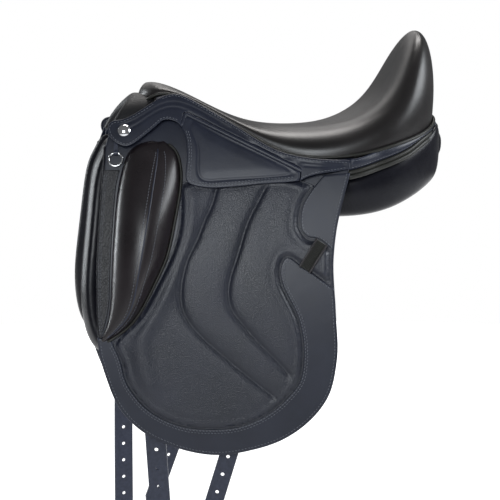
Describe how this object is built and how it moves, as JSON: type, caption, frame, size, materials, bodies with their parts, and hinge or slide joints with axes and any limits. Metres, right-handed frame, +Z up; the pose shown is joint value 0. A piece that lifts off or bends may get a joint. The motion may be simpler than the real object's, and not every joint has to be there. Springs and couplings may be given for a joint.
{
  "type": "english saddle",
  "caption": "Deep-seated dressage saddle: padded seat on a tree, long straight flaps with thigh blocks, skirts over stirrup bars, wool-style cushions and long girth straps.",
  "frame": {"origin": "on the centre plane, below the deepest part of the seat, between the two flaps, where the horse's back or a rack carries the saddle", "axes": "+Z up, +X from pommel to cantle (the horse faces -X), +Y to the horse's right"},
  "size_m": [0.5173, 0.382, 0.7507],
  "materials": {
    "seat_leather": "smooth, soft sheen",
    "foam": "matt foam",
    "tree": "moulded",
    "webbing": "woven",
    "steel": "satin",
    "bright_steel": "polished",
    "panel_leather": "smooth, soft",
    "piping": "smooth",
    "elastic": "ribbed",
    "grain_leather": "pebble grain",
    "strap_leather": "smooth, firm"
  },
  "bodies": {
    "saddle": {"catch_pin_left": "steel", "catch_pin_right": "steel", "d_ring_chape_left": "strap_leather", "d_ring_chape_right": "strap_leather", "flap_head_left": "strap_leather", "flap_head_right": "strap_leather", "girth_web_left": "webbing", "girth_web_right": "webbing", "gullet_lining": "strap_leather", "head_plate": "steel", "panel_left": "panel_leather", "panel_right": "panel_leather", "panel_wing_left": "panel_leather", "panel_wing_right": "panel_leather", "pommel_facing": "strap_leather", "pommel_stud_left": "bright_steel", "pommel_stud_right": "bright_steel", "rear_piping": "piping", "seat_cover": "seat_leather", "seat_foam": "foam", "seat_web": "webbing", "seat_welt": "piping", "skirt_band_left": "strap_leather", "skirt_band_right": "strap_leather", "stirrup_bar_left": "steel", "stirrup_bar_right": "steel", "tree_point_left": "strap_leather", "tree_point_right": "strap_leather", "tree_shell": "tree"},
    "flap_left_body": {"flap_left": "strap_leather", "flap_pad_left": "grain_leather", "flap_upper_band_left": "strap_leather", "flap_lower_band_left": "strap_leather", "keeper_strap_left": "elastic", "thigh_block_left": "grain_leather"},
    "skirt_left_body": {"skirt_left": "strap_leather"},
    "front_billet_left_body": {"front_billet_left": "strap_leather"},
    "rear_billet_left_body": {"rear_billet_left": "strap_leather"},
    "d_ring_left_body": {"d_ring_left": "bright_steel"},
    "bar_catch_left_body": {"bar_catch_left": "steel"},
    "flap_right_body": {"flap_right": "strap_leather", "flap_pad_right": "grain_leather", "flap_upper_band_right": "strap_leather", "flap_lower_band_right": "strap_leather", "keeper_strap_right": "elastic", "thigh_block_right": "grain_leather"},
    "skirt_right_body": {"skirt_right": "strap_leather"},
    "front_billet_right_body": {"front_billet_right": "strap_leather"},
    "rear_billet_right_body": {"rear_billet_right": "strap_leather"},
    "d_ring_right_body": {"d_ring_right": "bright_steel"},
    "bar_catch_right_body": {"bar_catch_right": "steel"}
  },
  "joints": [
    {"name": "flap_lift_left", "type": "hinge", "parent": "saddle", "child": "flap_left_body", "pos_m": [-0.03169, -0.11347, 0.155], "axis": [-0.842, 0.3354, 0.4226], "range_deg": [0, 35]},
    {"name": "skirt_lift_left", "type": "hinge", "parent": "flap_left_body", "child": "skirt_left_body", "pos_m": [-0.03169, -0.11347, 0.155], "axis": [-0.842, 0.3354, 0.4226], "range_deg": [0, 55]},
    {"name": "front_billet_swing_left", "type": "hinge", "parent": "saddle", "child": "front_billet_left_body", "pos_m": [-0.17416, -0.09512, 0.092], "axis": [-0.1736, -0.9848, 0], "range_deg": [-6, 6]},
    {"name": "rear_billet_swing_left", "type": "hinge", "parent": "saddle", "child": "rear_billet_left_body", "pos_m": [0.05008, -0.1306, 0.092], "axis": [-0.1736, -0.9848, 0], "range_deg": [-6, 6]},
    {"name": "d_ring_turn_left", "type": "hinge", "parent": "saddle", "child": "d_ring_left_body", "pos_m": [-0.20561, -0.08342, 0.14263], "axis": [-0.9848, 0.1736, 0], "range_deg": [0, 90]},
    {"name": "bar_catch_turn_left", "type": "hinge", "parent": "saddle", "child": "bar_catch_left_body", "pos_m": [-0.05676, -0.09153, 0.155], "axis": [0.1736, 0.9848, 0], "range_deg": [0, 80]},
    {"name": "flap_lift_right", "type": "hinge", "parent": "saddle", "child": "flap_right_body", "pos_m": [-0.03169, 0.11347, 0.155], "axis": [0.842, 0.3354, -0.4226], "range_deg": [0, 35]},
    {"name": "skirt_lift_right", "type": "hinge", "parent": "flap_right_body", "child": "skirt_right_body", "pos_m": [-0.03169, 0.11347, 0.155], "axis": [0.842, 0.3354, -0.4226], "range_deg": [0, 55]},
    {"name": "front_billet_swing_right", "type": "hinge", "parent": "saddle", "child": "front_billet_right_body", "pos_m": [-0.17416, 0.09512, 0.092], "axis": [0.1736, -0.9848, 0], "range_deg": [-6, 6]},
    {"name": "rear_billet_swing_right", "type": "hinge", "parent": "saddle", "child": "rear_billet_right_body", "pos_m": [0.05008, 0.1306, 0.092], "axis": [0.1736, -0.9848, 0], "range_deg": [-6, 6]},
    {"name": "d_ring_turn_right", "type": "hinge", "parent": "saddle", "child": "d_ring_right_body", "pos_m": [-0.20561, 0.08342, 0.14263], "axis": [0.9848, 0.1736, 0], "range_deg": [0, 90]},
    {"name": "bar_catch_turn_right", "type": "hinge", "parent": "saddle", "child": "bar_catch_right_body", "pos_m": [-0.05676, 0.09153, 0.155], "axis": [-0.1736, 0.9848, 0], "range_deg": [0, 80]}
  ]
}
